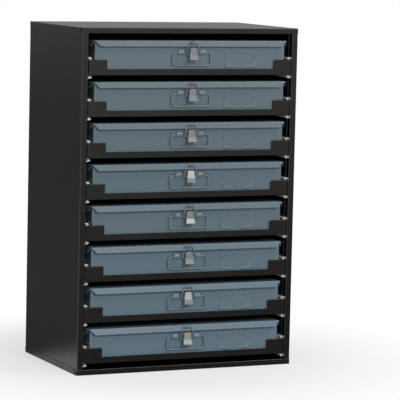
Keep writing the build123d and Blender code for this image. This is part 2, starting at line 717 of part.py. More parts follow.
def lid_sheet():
    """The lid: a flat sheet with a flared skirt along its front and sides."""
    half = LID_HALF - LID_BEND
    lid = block(-half, half, LID_FRONT + LID_BEND, CASE_BACK, LID_TOP - LID_SHEET, LID_TOP)
    for skirt in both_sides(side_skirt()) + [front_skirt()]:
        lid += skirt
    return lid


def hinge_pin():
    half = HINGE_LENGTH / 2
    return rod_x(HINGE_PIN_RADIUS, -half, half - KNUCKLE_GAP, HINGE_PIN_Y, HINGE_PIN_Z)


def lid_parts():
    return [lid_sheet(), lid_catch(), lid_leaf(), hinge_pin()]


# ---- Latch lever, bail and handle ----
def lever_outline():
    """The lever's face as (x, z), a little past its ends: it widens evenly from top to bottom."""
    high = LATCH_PIN_Z + LEVER_RISE
    low = LATCH_PIN_Z - LEVER_BOTTOM_DROP
    spread = (LEVER_BOTTOM_WIDTH - LEVER_TOP_WIDTH) / 2 / (high - low) * OVERCUT
    top = LEVER_TOP_WIDTH / 2 - spread
    foot = LEVER_BOTTOM_WIDTH / 2 + spread
    points = [(-foot, low - OVERCUT), (foot, low - OVERCUT), (top, high + OVERCUT), (-top, high + OVERCUT)]
    return make_face(Polyline(*points, close=True))


def lever_cheek():
    """The right cheek of the lever as (y, z): it carries the latch pin and one end of the bail."""
    inset = LEVER_SHEET / 2
    high = LATCH_PIN_Z + LEVER_RISE - inset
    low = LATCH_PIN_Z - CHEEK_DROP
    back = LATCH_PIN_Y + CHEEK_BACK
    outline = Polyline(
        (LATCH_PIN_Y - LEVER_TOP_REACH + inset, high),
        (LATCH_PIN_Y - LEVER_CREASE_REACH + inset, low + LEVER_SHEET),
        (BAIL_PIVOT_Y + 2 * BAIL_WIRE_RADIUS, low),
        (back, LATCH_PIN_Z - CHEEK_BACK_HALF),
        (back, LATCH_PIN_Z + CHEEK_BACK_HALF),
        (LATCH_PIN_Y - CHEEK_TOP_REACH, high),
        close=True,
    )
    return along_x(make_face(outline), LEVER_CHEEK - LEVER_SHEET, LEVER_CHEEK)


def latch_lever():
    """The stamped lever: a flared face and two cheeks that carry the pin and the bail."""
    points = [
        (LATCH_PIN_Y - LEVER_TOP_REACH, LATCH_PIN_Z + LEVER_RISE),
        (LATCH_PIN_Y - LEVER_CREASE_REACH, LATCH_PIN_Z - LEVER_CREASE_DROP),
        (LATCH_PIN_Y - LEVER_BOTTOM_REACH, LATCH_PIN_Z - LEVER_BOTTOM_DROP),
    ]
    half = LEVER_BOTTOM_WIDTH / 2
    lever = along_x(bent_face(points, LEVER_SHEET, LEVER_BEND, Side.LEFT), -half, half)
    lever &= along_y(lever_outline(), LATCH_PIN_Y - LEVER_BOTTOM_REACH - OVERCUT, LATCH_PIN_Y)
    for piece in both_sides(lever_cheek()):
        lever += piece
    pin_hole = LATCH_PIN_RADIUS + RUNNING_CLEARANCE
    bail_hole = BAIL_WIRE_RADIUS + RUNNING_CLEARANCE
    reach = LEVER_CHEEK + OVERCUT
    lever -= rod_x(pin_hole, -reach, reach, LATCH_PIN_Y, LATCH_PIN_Z)
    return lever - rod_x(bail_hole, -reach, reach, BAIL_PIVOT_Y, BAIL_PIVOT_Z)


def latch_bail():
    """The wire bail: hooked into the lever's cheeks, bulging past them and over the lid's catch."""
    leg = BAIL_LEG_HALF_WIDTH
    half = [
        (LEVER_CHEEK - LEVER_SHEET - BAIL_HOOK, BAIL_PIVOT_Y, BAIL_PIVOT_Z),
        (leg, BAIL_PIVOT_Y, BAIL_PIVOT_Z),
        (leg + BAIL_BULGE_SPREAD, LATCH_PIN_Y - BAIL_BULGE_REACH, LATCH_PIN_Z + BAIL_BULGE_RISE),
        (BAIL_TOP_HALF_WIDTH, BAIL_TOP_Y, BAIL_TOP_Z),
    ]
    points = half + [(-x, y, z) for x, y, z in reversed(half)]
    return wire(points, BAIL_BEND, BAIL_WIRE_RADIUS)


def handle():
    """The wire carrying handle, hanging shut against the case front."""
    leg = HANDLE_WIDTH / 2 - HANDLE_WIRE_RADIUS
    half = [
        (SOCKET_INNER + HANDLE_END_GAP, HANDLE_Y, HANDLE_Z),
        (leg, HANDLE_Y, HANDLE_Z),
        (leg, HANDLE_Y, HANDLE_Z - HANDLE_DROP),
    ]
    points = half + [(-x, y, z) for x, y, z in reversed(half)]
    return wire(points, HANDLE_BEND, HANDLE_WIRE_RADIUS)


# ---- Writing the nodes ----
TO_ORIGIN = Pos(0, -CABINET_DEPTH / 2, 0)


def write(node, solids):
    """Writes one node's solids, moved to the cabinet's origin, to its own file."""
    placed = [TO_ORIGIN * solid for solid in solids]
    shape = placed[0] if len(placed) == 1 else Compound(children=placed)
    shape.label = node
    export_step(shape, os.path.join("parts", node + ".step"))


def write_cabinet():
    right = drill_back(side_panel())
    write("right_side_panel", [right])
    write("left_side_panel", [mirror(right, about=Plane.YZ)])
    write("top_panel", [drill_back(top_panel())])
    write("bottom_panel", [drill_back(bottom_panel())])
    write("back_panel", [back_panel()])
    write("back_screws", back_screws())
    write("slide_posts", slide_posts())
    write("right_outer_rails", outer_rails(1))
    write("left_outer_rails", outer_rails(-1))
    write("rail_screws", rail_screws())


def write_drawers():
    pieces = {
        "tray": tray_parts(),
        "case": case_parts(),
        "lid": lid_parts(),
        "latch_lever": [latch_lever()],
        "latch_bail": [latch_bail()],
        "handle": [handle()],
    }
    for number, height in enumerate(TRAY_HEIGHTS, start=1):
        for name, solids in pieces.items():
            write(f"{name}_{number}", [Pos(0, 0, height) * solid for solid in solids])


os.makedirs("parts", exist_ok=True)
write_cabinet()
write_drawers()
print(f"cabinet {CABINET_WIDTH:.1f} wide, {CABINET_DEPTH:.1f} deep, {CABINET_HEIGHT:.1f} tall")
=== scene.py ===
import bmesh
import bpy
import json
import math
from mathutils import Matrix, Vector


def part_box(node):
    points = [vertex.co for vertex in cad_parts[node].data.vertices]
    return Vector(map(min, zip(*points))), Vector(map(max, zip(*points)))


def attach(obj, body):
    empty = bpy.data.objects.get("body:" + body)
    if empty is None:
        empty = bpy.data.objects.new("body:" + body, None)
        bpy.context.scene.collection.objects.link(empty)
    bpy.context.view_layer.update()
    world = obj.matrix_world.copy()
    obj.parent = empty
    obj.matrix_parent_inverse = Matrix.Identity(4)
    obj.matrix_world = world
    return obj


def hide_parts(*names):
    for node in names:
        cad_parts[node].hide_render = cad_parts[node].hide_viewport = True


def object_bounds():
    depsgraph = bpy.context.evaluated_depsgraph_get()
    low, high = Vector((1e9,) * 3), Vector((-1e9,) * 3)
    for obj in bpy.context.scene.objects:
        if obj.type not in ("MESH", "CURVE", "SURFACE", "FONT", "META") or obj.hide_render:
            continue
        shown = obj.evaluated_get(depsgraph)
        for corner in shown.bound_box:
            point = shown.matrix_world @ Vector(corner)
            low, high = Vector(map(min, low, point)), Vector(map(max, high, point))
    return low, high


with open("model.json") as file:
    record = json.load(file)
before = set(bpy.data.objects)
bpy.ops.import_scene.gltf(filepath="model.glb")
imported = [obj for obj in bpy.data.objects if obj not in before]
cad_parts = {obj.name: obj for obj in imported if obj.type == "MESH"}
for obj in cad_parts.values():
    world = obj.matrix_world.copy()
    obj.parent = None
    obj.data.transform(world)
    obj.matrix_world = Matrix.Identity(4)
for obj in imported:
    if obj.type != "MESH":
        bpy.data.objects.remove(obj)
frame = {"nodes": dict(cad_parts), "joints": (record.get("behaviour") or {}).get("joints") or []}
cad_low, cad_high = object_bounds()
nodes = frame["nodes"]
drawer_numbers = range(1, 1 + sum(name.startswith("tray_") for name in nodes))
last_drawer = drawer_numbers[-1]


# ---- Cabinet shell ----
# Folded sheet-steel panels and the uprights behind them, welded, then sprayed a satin black
# powder coat. The coat has a fine orange peel. Folds and cut edges are paler grey, partly thin and
# rubbed coat and partly a painted highlight where they catch the light, and the faces that look up
# gather a little dust.
BLACK_COAT = (0.0052, 0.0052, 0.0050)
PALE_EDGE_GAIN = 1.6                  # a pale edge is its own colour times the gain, plus the lift
PALE_EDGE_LIFT = 0.13
COAT_DUST = (0.30, 0.29, 0.27)
EDGE_REACH = 0.0010
PEEL_DEPTH = 0.000012
BLACK_PANELS = ("left_side_panel", "right_side_panel", "top_panel", "bottom_panel", "back_panel",
                "slide_posts")


def feed(tree, node, inputs):
    """Feeds a node's inputs: a socket is linked, and a number or colour is set."""
    for name, value in inputs.items():
        if isinstance(value, bpy.types.NodeSocket):
            tree.links.new(value, node.inputs[name])
        else:
            node.inputs[name].default_value = value


def node_in(tree, kind, inputs=None, **settings):
    """A shader node with its settings and what feeds it."""
    node = tree.nodes.new(kind)
    for name, value in settings.items():
        setattr(node, name, value)
    feed(tree, node, inputs or {})
    return node


def reckoned(tree, operation, *terms, **settings):
    """The result of some arithmetic; each term is a socket or a number."""
    inputs = dict(enumerate(terms))
    return node_in(tree, "ShaderNodeMath", inputs, operation=operation, **settings).outputs[0]


def graded(tree, value, start=0.0, end=1.0, low=0.0, high=1.0, style="LINEAR"):
    """Runs from low to high while the value runs from start to end."""
    inputs = {"Value": value, "From Min": start, "From Max": end, "To Min": low, "To Max": high}
    grade = node_in(tree, "ShaderNodeMapRange", inputs, interpolation_type=style)
    return grade.outputs["Result"]


def own_place(tree):
    """Where a point lies on the object."""
    return node_in(tree, "ShaderNodeTexCoord").outputs["Object"]


def axes_of(tree, vector):
    """The X, Y and Z of a vector."""
    return node_in(tree, "ShaderNodeSeparateXYZ", {0: vector}).outputs


def clouds(tree, place, scale, detail):
    """Soft noise around one half; a larger scale is finer, and more detail is rougher."""
    inputs = {"Vector": place, "Scale": scale, "Detail": detail}
    return node_in(tree, "ShaderNodeTexNoise", inputs).outputs["Fac"]


def mixed(tree, factor, first, second, blend="MIX"):
    """A colour mix; each input is a socket or a colour."""
    inputs = {"Factor": factor, "A": first, "B": second}
    mix = node_in(tree, "ShaderNodeMix", inputs, data_type="RGBA", blend_type=blend)
    return mix.outputs["Result"]


def shader_group(name, inputs, outputs):
    """A node group with its own sockets: numbers go in, and numbers over the surface come out."""
    group = bpy.data.node_groups.new(name, "ShaderNodeTree")
    sockets = group.interface
    for label, value in inputs.items():
        socket = sockets.new_socket(name=label, in_out="INPUT", socket_type="NodeSocketFloat")
        socket.default_value = value
    for label in outputs:
        sockets.new_socket(name=label, in_out="OUTPUT", socket_type="NodeSocketFloat")
    return group, node_in(group, "NodeGroupInput").outputs, node_in(group, "NodeGroupOutput")


def sprayed_coat_group():
    """Tone: slow mottle around 1. Peel: the fine waves of a sprayed coat."""
    group, given, out = shader_group("sprayed_coat", {"Mottle": 0.1}, ["Tone", "Peel"])
    place = own_place(group)
    mottle = reckoned(group, "SUBTRACT", clouds(group, place, scale=13.0, detail=5.0), 0.5)
    tone = reckoned(group, "MULTIPLY_ADD", mottle, given["Mottle"], 1.0)
    peel = clouds(group, place, scale=620.0, detail=2.0)
    feed(group, out, {"Tone": tone, "Peel": peel})
    return group


def settled_dust_group():
    """Dust: thin on faces that look up, broken by slow noise."""
    group, given, out = shader_group("settled_dust", {"Amount": 0.1}, ["Dust"])
    facing = node_in(group, "ShaderNodeNewGeometry").outputs["True Normal"]
    upward = graded(group, axes_of(group, facing)["Z"], start=0.7, end=1.0)
    patches = clouds(group, own_place(group), scale=9.0, detail=6.0)
    broken = reckoned(group, "MULTIPLY", upward, patches)
    feed(group, out, {"Dust": reckoned(group, "MULTIPLY", broken, given["Amount"])})
    return group


def edge_wear_group():
    """Wear and painted highlight: where a coat is thin and rubbed, and along folds and cut edges
    that catch the light, broken by noise. At a cut edge the rounded normal turns away from the
    face's own.
    A fold slants between two of the main directions."""
    group, given, out = shader_group("edge_wear", {"Reach": 0.001, "Amount": 0.5}, ["Wear_and_highlight"])
    facing = node_in(group, "ShaderNodeNewGeometry").outputs["True Normal"]
    rounded = node_in(group, "ShaderNodeBevel", {"Radius": given["Reach"]}, samples=4)
    alike = node_in(group, "ShaderNodeVectorMath", {0: facing, 1: rounded.outputs["Normal"]},
                    operation="DOT_PRODUCT")
    cut_edge = graded(group, alike.outputs["Value"], start=0.99, end=0.8)
    sizes = node_in(group, "ShaderNodeVectorMath", {0: facing}, operation="ABSOLUTE")
    parts = axes_of(group, sizes.outputs["Vector"])
    slant = 0.0
    for first, second in (("X", "Y"), ("Y", "Z"), ("Z", "X")):
        slant = reckoned(group, "MULTIPLY_ADD", parts[first], parts[second], slant)
    fold = graded(group, slant, start=0.38, end=0.46)
    edge_marks = reckoned(group, "MAXIMUM", cut_edge, fold)
    chips = clouds(group, own_place(group), scale=160.0, detail=4.0)
    broken = reckoned(group, "MULTIPLY", edge_marks, chips)
    wear = reckoned(group, "MULTIPLY", broken, given["Amount"], use_clamp=True)
    feed(group, out, {"Wear_and_highlight": wear})
    return group


sprayed_coat = sprayed_coat_group()
settled_dust = settled_dust_group()
edge_wear = edge_wear_group()


def node_material(name):
    """A node material, its tree and its Principled shader."""
    made = bpy.data.materials.new(name)
    made.use_nodes = True
    return made, made.node_tree, made.node_tree.nodes["Principled BSDF"]


def placed_group(tree, group, **values):
    """What a node group puts out, placed in a material with its own values."""
    return node_in(tree, "ShaderNodeGroup", values, node_tree=group).outputs


def sprayed(tree, colour, roughness, mottle, dust, wear):
    """A sprayed coat's colour, roughness and normal, for a shader's inputs."""
    coat = placed_group(tree, sprayed_coat, Mottle=mottle)
    settled = placed_group(tree, settled_dust, Amount=dust)
    edge_marks = placed_group(tree, edge_wear, Reach=EDGE_REACH, Amount=wear)
    toned = mixed(tree, 1.0, (*colour, 1), coat["Tone"], "MULTIPLY")
    # pale edges: partly rubbed coat, partly a painted highlight on folds and cut edges
    pale = [min(1.0, PALE_EDGE_GAIN * part + PALE_EDGE_LIFT) for part in colour]
    pale_edged = mixed(tree, edge_marks["Wear_and_highlight"], toned, (*pale, 1))
    bump = node_in(tree, "ShaderNodeBump", {"Distance": PEEL_DEPTH, "Height": coat["Peel"]})
    return {"Base Color": mixed(tree, settled["Dust"], pale_edged, (*COAT_DUST, 1)),
            "Roughness": reckoned(tree, "MULTIPLY", coat["Tone"], roughness),
            "Normal": bump.outputs["Normal"]}


def coated_steel(name, colour, **coat):
    """Sheet steel or wire under a sprayed coat."""
    made, tree, shader = node_material(name)
    feed(tree, shader, sprayed(tree, colour, **coat))
    return made


def finish_node(name, made):
    """Gives a CAD node its material."""
    for slot in nodes[name].material_slots:
        slot.material = made


cabinet_black = coated_steel("cabinet_black", BLACK_COAT,
                             roughness=0.33, mottle=0.3, dust=0.05, wear=0.9)
for panel in BLACK_PANELS:
    finish_node(panel, cabinet_black)


# ---- Back panel screws ----
# Plated pan-head screws with a cross recess hold the back panel to the cabinet's rear flanges.
# One is shaped with its head, recess and shank, then copied to the sixteen places.
SCREW_HEAD = 0.0036
SCREW_HEAD_RISE = 0.0018
SCREW_HEAD_ROUND = 0.00099
SCREW_SHANK = 0.0019
SCREW_SHANK_ROUND = 0.00057
SCREW_REACH = 0.0058
RECESS_ARM = 0.0021
RECESS_WIDTH = 0.0008
RECESS_DEPTH = 0.0011
RECESS_TURN = 0.7
BACK_SCREWS_A_SIDE = 4
SCREW_ZINC = (0.70, 0.71, 0.70)
PLATE_GRAIN = (900, 60, 900)     # fine across the rolled sheet and long with it


def start_piece():
    """Nothing selected, ready for a new primitive."""
    if bpy.context.object and bpy.context.object.mode != "OBJECT":
        bpy.ops.object.mode_set(mode="OBJECT")
    bpy.ops.object.select_all(action="DESELECT")


def dressed(piece, made):
    """A new piece in its one material."""
    piece.data.materials.clear()
    piece.data.materials.append(made)
    return piece


def active_piece(name):
    """The active object, named, with its place settled in its mesh."""
    piece = bpy.context.object
    piece.name = name
    piece.data.name = name
    bpy.ops.object.transform_apply(location=True, rotation=True, scale=True)
    return piece


def box_at(low, high):
    """A box between two corners, active and selected."""
    low, high = Vector(low), Vector(high)
    bpy.ops.mesh.primitive_cube_add(size=1, location=(low + high) / 2, scale=high - low)
    bpy.ops.object.transform_apply(location=True, rotation=True, scale=True)
    return bpy.context.object


def pin_along_y(radius, start, end, vertices):
    """A round pin on the Y axis, active and selected."""
    bpy.ops.mesh.primitive_cylinder_add(
        vertices=vertices, radius=radius, depth=end - start,
        rotation=(math.pi / 2, 0, 0), location=(0, (start + end) / 2, 0))


def apply_modifier(piece, kind, **settings):
    """Adds a modifier with its settings and applies it."""
    bpy.context.view_layer.objects.active = piece
    modifier = piece.modifiers.new(kind.lower(), kind)
    for name, value in settings.items():
        setattr(modifier, name, value)
    bpy.ops.object.modifier_apply(modifier=modifier.name)


def joined(pieces):
    """The pieces as one object, active and selected."""
    bpy.ops.object.select_all(action="DESELECT")
    for piece in pieces:
        piece.select_set(True)
    bpy.context.view_layer.objects.active = pieces[0]
    bpy.ops.object.join()
    return pieces[0]


def copied(piece, name, move):
    """A moved copy with its own mesh; a mirrored copy is turned the right way out."""
    mesh = piece.data.copy()
    mesh.name = name
    mesh.transform(move)
    if move.determinant() < 0:
        mesh.flip_normals()
    made = bpy.data.objects.new(name, mesh)
    bpy.context.scene.collection.objects.link(made)
    return made


def plated(tree, colour, roughness, streak):
    """Zinc plate over rolled steel: its colour and roughness, with fine lengthwise streaks."""
    place = own_place(tree)
    stretch = node_in(tree, "ShaderNodeMapping", {"Vector": place, "Scale": PLATE_GRAIN})
    grain = clouds(tree, stretch.outputs["Vector"], scale=1.0, detail=3.0)
    tone = graded(tree, grain, low=1.0 - streak, high=1.0)
    bloom = clouds(tree, place, scale=70.0, detail=2.0)
    return {"Base Color": mixed(tree, 1.0, (*colour, 1), tone, "MULTIPLY"),
            "Roughness": graded(tree, bloom, low=roughness, high=roughness + streak)}


def plated_steel(name, colour, roughness, streak, metallic):
    """Steel under bright zinc plate."""
    made, tree, shader = node_material(name)
    feed(tree, shader, {"Metallic": metallic, **plated(tree, colour, roughness, streak)})
    return made


screw_zinc = plated_steel("screw_zinc", SCREW_ZINC, roughness=0.3, streak=0.15, metallic=1.0)
finish_node("rail_screws", screw_zinc)
finish_node("back_screws", screw_zinc)
screws_low, screws_high = map(Vector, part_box("back_screws"))
back_face = screws_high.y - SCREW_HEAD_RISE

start_piece()
pin_along_y(SCREW_HEAD, 0, SCREW_HEAD_RISE, vertices=32)
screw_head = active_piece("back_screw_head")
apply_modifier(screw_head, "BEVEL", width=SCREW_HEAD_ROUND, segments=4, limit_method="ANGLE")
for wide, tall in ((RECESS_ARM, RECESS_WIDTH / 2), (RECESS_WIDTH / 2, RECESS_ARM)):
    start_piece()
    cutter = box_at((-wide, SCREW_HEAD_RISE - RECESS_DEPTH, -tall),
                    (wide, 2 * SCREW_HEAD_RISE, tall))
    apply_modifier(screw_head, "BOOLEAN", operation="DIFFERENCE", object=cutter, solver="EXACT")
    bpy.data.objects.remove(cutter)
start_piece()
pin_along_y(SCREW_SHANK, -SCREW_REACH, 0, vertices=16)
screw_shank = active_piece("back_screw_shank")
apply_modifier(screw_shank, "BEVEL", width=SCREW_SHANK_ROUND, segments=2, limit_method="ANGLE")
back_screw = joined([screw_head, screw_shank])

screw_places = []
for place_number in range(BACK_SCREWS_A_SIDE):
    share = (place_number + 0.5) / BACK_SCREWS_A_SIDE
    across = (2 * share - 1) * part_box("back_panel")[1][0]
    height = share * cad_high[2]
    screw_places += [(across, screws_low.z + SCREW_HEAD), (across, screws_high.z - SCREW_HEAD),
                     (screws_low.x + SCREW_HEAD, height), (screws_high.x - SCREW_HEAD, height)]
back_screw_set = []
for place_number, (across, height) in enumerate(screw_places):
    turn = Matrix.Rotation(place_number * RECESS_TURN, 4, "Y")
    spot = Matrix.Translation((across, back_face, height)) @ turn
    back_screw_set.append(copied(back_screw, f"back_screw_{place_number + 1}", spot))
bpy.data.objects.remove(back_screw)
back_screw_rows = dressed(joined(back_screw_set), screw_zinc)
back_screw_rows.name = "cross_recess_screws"
bpy.ops.object.shade_smooth_by_angle(angle=math.radians(30))
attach(back_screw_rows, "cabinet")
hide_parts("back_screws")


# ---- Slides: rails, ball cages and balls ----
# The cabinet rails are rolled channels of zinc-plated steel, screwed to the uprights. In each runs
# a thin pressed cage that holds a row of steel balls above and below the tray's own rail.
RAIL_ZINC = (0.88, 0.88, 0.85)
RAIL_METAL = 0.3
RAIL_ROUGHNESS = 0.28
RAIL_STREAK = 0.2
# painted shade: the rails' channels are coloured near black, standing in for their shadow
PAINTED_CHANNEL_SHADE = (0.012, 0.012, 0.011)
SHADED_HALF = 0.0168
SHADE_FADE = 0.0005
CAGE_SHEET = 0.0006
CAGE_ROUND = 0.00018
CAGE_LENGTH = 0.120
CAGE_WEB = 0.0042
CAGE_EDGE = 0.0088
CAGE_HALF_HEIGHT = 0.0191
CAGE_SETBACK = 0.024
BALL_RADIUS = 0.0022
BALL_PITCH = 0.012
BALL_INSET = 0.0069
FIRST_BALL = 0.0032
FACING = 0.9                     # a face whose normal has this much of a direction looks that way

rails_low, rails_high = map(Vector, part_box("right_outer_rails"))
slide_plane = rails_high.x
rail_front = rails_low.y
tray_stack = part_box("tray_1")[0][2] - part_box(f"tray_{last_drawer}")[0][2]
tray_pitch = tray_stack / (last_drawer - 1)
first_slide = (rails_high.z + rails_low.z + tray_stack) / 2


def edit_faces(piece, *directions):
    """Opens a piece in edit mode, with the faces selected that look one of these ways."""
    bpy.ops.object.mode_set(mode="EDIT")
    bpy.ops.mesh.select_mode(type="FACE")
    for face in bmesh.from_edit_mesh(piece.data).faces:
        face.select_set(any(face.normal.dot(Vector(way)) > FACING for way in directions))


def shaded_rails():
    """Bright zinc whose channel, between the two curled lips, is painted dark: painted shade for
    the shadow in it.
    """
    made, tree, shader = node_material("shaded_zinc")
    zinc = plated(tree, RAIL_ZINC, RAIL_ROUGHNESS, RAIL_STREAK)
    height = axes_of(tree, own_place(tree))["Z"]
    from_first = reckoned(tree, "SUBTRACT", height, first_slide)
    from_centre = reckoned(tree, "PINGPONG", from_first, tray_pitch / 2)
    unshaded = graded(tree, from_centre, SHADED_HALF, SHADED_HALF + SHADE_FADE)
    feed(tree, shader, {"Base Color": mixed(tree, unshaded, (*PAINTED_CHANNEL_SHADE, 1), zinc["Base Color"]),
                        "Metallic": reckoned(tree, "MULTIPLY", unshaded, RAIL_METAL),
                        "Roughness": zinc["Roughness"]})
    return made


bright_zinc = plated_steel("bright_zinc", RAIL_ZINC, RAIL_ROUGHNESS, RAIL_STREAK, RAIL_METAL)
shaded_zinc = shaded_rails()
for rails in ("left_outer_rails", "right_outer_rails"):
    finish_node(rails, shaded_zinc)

start_piece()
cage_front = rail_front + CAGE_SETBACK
cage_channel = box_at(
    (slide_plane - CAGE_EDGE, cage_front, first_slide - CAGE_HALF_HEIGHT),
    (slide_plane - CAGE_WEB, cage_front + CAGE_LENGTH, first_slide + CAGE_HALF_HEIGHT))
edit_faces(cage_channel, (0, 1, 0), (0, -1, 0), (-1, 0, 0))
bpy.ops.mesh.delete(type="FACE")
bpy.ops.object.mode_set(mode="OBJECT")
apply_modifier(cage_channel, "SOLIDIFY", thickness=CAGE_SHEET, offset=0.0)
apply_modifier(cage_channel, "BEVEL", width=CAGE_ROUND, segments=2, limit_method="ANGLE")
cage_pieces = [active_piece("slide_cage")]
balls_a_row = int((CAGE_LENGTH - BALL_PITCH / 2) / BALL_PITCH)
for row in (-1, 1):
    for ball_number in range(balls_a_row):
        along = rail_front + FIRST_BALL + ball_number * BALL_PITCH
        start_piece()
        bpy.ops.mesh.primitive_uv_sphere_add(
            segments=10, ring_count=6, radius=BALL_RADIUS,
            location=(slide_plane - BALL_INSET, along, first_slide + row * CAGE_HALF_HEIGHT))
        cage_pieces.append(active_piece("slide_ball"))
slide_cage = dressed(joined(cage_pieces), bright_zinc)
bpy.ops.object.shade_smooth_by_angle(angle=math.radians(60))
for number in drawer_numbers:
    for side, mirror in (("right", 1), ("left", -1)):
        drop = Matrix.Translation((0, 0, -(number - 1) * tray_pitch))
        move = drop @ Matrix.Diagonal((mirror, 1, 1, 1))
        cage = copied(slide_cage, f"{side}_ball_cage_{number}", move)
        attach(cage, "cabinet")
bpy.data.objects.remove(slide_cage)


# ---- Trays ----
# Folded steel trays, sprayed a warmer black than the cabinet. The slide rails riveted to their
# walls stay bare zinc plate, like the cabinet's own rails.
TRAY_COAT = (0.0060, 0.0052, 0.0042)
SLIDE_DEPTH = 0.0127             # the tray's own rails lie outside its walls and behind its lip
LIP_DEPTH = 0.0017

tray_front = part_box("tray_1")[0][1]
tray_black, tree, shader = node_material("tray_black")
coat = sprayed(tree, TRAY_COAT, roughness=0.36, mottle=0.35, dust=0.04, wear=0.15)
zinc = plated(tree, RAIL_ZINC, RAIL_ROUGHNESS, RAIL_STREAK)
axes = axes_of(tree, own_place(tree))
outward = reckoned(tree, "ABSOLUTE", axes["X"])
beyond_wall = reckoned(tree, "GREATER_THAN", outward, slide_plane - SLIDE_DEPTH)
behind_lip = reckoned(tree, "GREATER_THAN", axes["Y"], tray_front + LIP_DEPTH)
on_rail = reckoned(tree, "MULTIPLY", beyond_wall, behind_lip)
rail_gloss = node_in(tree, "ShaderNodeMix", {"Factor": on_rail, "A": coat["Roughness"],
                                             "B": zinc["Roughness"]})
feed(tree, shader, {"Base Color": mixed(tree, on_rail, coat["Base Color"], zinc["Base Color"]),
                    "Metallic": reckoned(tree, "MULTIPLY", on_rail, RAIL_METAL),
                    "Roughness": rail_gloss.outputs["Result"],
                    "Normal": coat["Normal"]})
for number in drawer_numbers:
    finish_node(f"tray_{number}", tray_black)


# ---- Cases and lids ----
# Sheet-steel carrying cases with a hinged lid, sprayed a blue-grey enamel inside and out. The
# enamel is smooth, and paler on the folds, partly rubbed and partly a painted highlight. From the
# top drawer down it grows paler and bluer: painted light for the light and reflections the lower
# cases get from the floor.
# painted light: from the top drawer down the enamel grows paler and bluer
CASE_ENAMEL_LIT_SHADES = ((0.112, 0.149, 0.174), (0.108, 0.146, 0.171), (0.105, 0.145, 0.173),
                  (0.102, 0.146, 0.177), (0.108, 0.154, 0.188), (0.113, 0.165, 0.203),
                  (0.120, 0.174, 0.215), (0.127, 0.184, 0.230))

case_enamels = {}
for number, lit_shade in zip(drawer_numbers, CASE_ENAMEL_LIT_SHADES):
    case_enamels[number] = coated_steel(f"case_enamel_{number}", lit_shade,
                                        roughness=0.29, mottle=0.08, dust=0.03, wear=0.8)
    finish_node(f"case_{number}", case_enamels[number])
    finish_node(f"lid_{number}", case_enamels[number])


# ---- Handle sockets ----
# A lobe pressed out of the latch plate hoods each end of the carrying handle and holds it to the
# case. It is fullest over the wire, slopes back to the plate above, and is sprayed with the case.
HOOD_START = 0.0182
HOOD_LENGTH = 0.0150
HOOD_PROUD = 0.0031
HOOD_FOOT = 0.0029
HOOD_SHOULDER = 0.0022
HOOD_RISE = 0.0058
HOOD_SLOPE = 0.0036
HOOD_TAPER = 0.0022
HOOD_ROUND = 0.0011
PLATE_DEPTH = 0.0021

pivots = {joint["name"]: Vector(joint["pos_m"]) for joint in frame["joints"] if "pos_m" in joint}
first_pivot = pivots["handle_hinge_1"]

start_piece()
hood = box_at((HOOD_START, first_pivot.y - HOOD_PROUD, first_pivot.z - HOOD_FOOT),
              (HOOD_START + HOOD_LENGTH, first_pivot.y + PLATE_DEPTH,
               first_pivot.z + HOOD_SHOULDER))
edit_faces(hood, (0, 0, 1))
bpy.ops.mesh.extrude_region_move(TRANSFORM_OT_translate={"value": (0, 0, HOOD_RISE)})
bpy.ops.transform.resize(
    value=(1 - 2 * HOOD_TAPER / HOOD_LENGTH, 1 - HOOD_SLOPE / (HOOD_PROUD + PLATE_DEPTH), 1),
    center_override=(HOOD_START + HOOD_LENGTH / 2, first_pivot.y + PLATE_DEPTH, first_pivot.z))
bpy.ops.object.mode_set(mode="OBJECT")
active_piece("handle_hood")
apply_modifier(hood, "BEVEL", width=HOOD_ROUND, segments=4, limit_method="ANGLE",
               angle_limit=math.radians(25))
hood_pair = joined([hood, copied(hood, "handle_hood_mirrored", Matrix.Diagonal((-1, 1, 1, 1)))])
bpy.ops.object.shade_smooth_by_angle(angle=math.radians(40))
for number in drawer_numbers:
    drop = Matrix.Translation(pivots[f"handle_hinge_{number}"] - first_pivot)
    hoods = copied(hood_pair, f"handle_hoods_{number}", drop)
    dressed(hoods, case_enamels[number])
    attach(hoods, f"drawer_{number}")
bpy.data.objects.remove(hood_pair)


# ---- Label holders ----
# Four L-shaped corners pressed out of each case front hold a paper label by its edges. They stand
# proud of the sheet with full round edges, and are sprayed with the case.
LABEL_START = 0.0812
LABEL_WIDTH = 0.0764
LABEL_LIFT = 0.0150
LABEL_HEIGHT = 0.0374
CORNER_LENGTH = 0.0260
CORNER_HEIGHT = 0.0145
CORNER_ARM = 0.0056
CORNER_PROUD = 0.0022
CORNER_TURN = 0.0042
CORNER_ROUND = 0.0017
SHEET_BITE = 0.0004
FRONT_SETBACK = 0.0034
NEAR = 0.0001

case_feet = {number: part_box(f"case_{number}")[0][2] for number in drawer_numbers}
case_face = tray_front + FRONT_SETBACK
label_foot = case_feet[1] + LABEL_LIFT

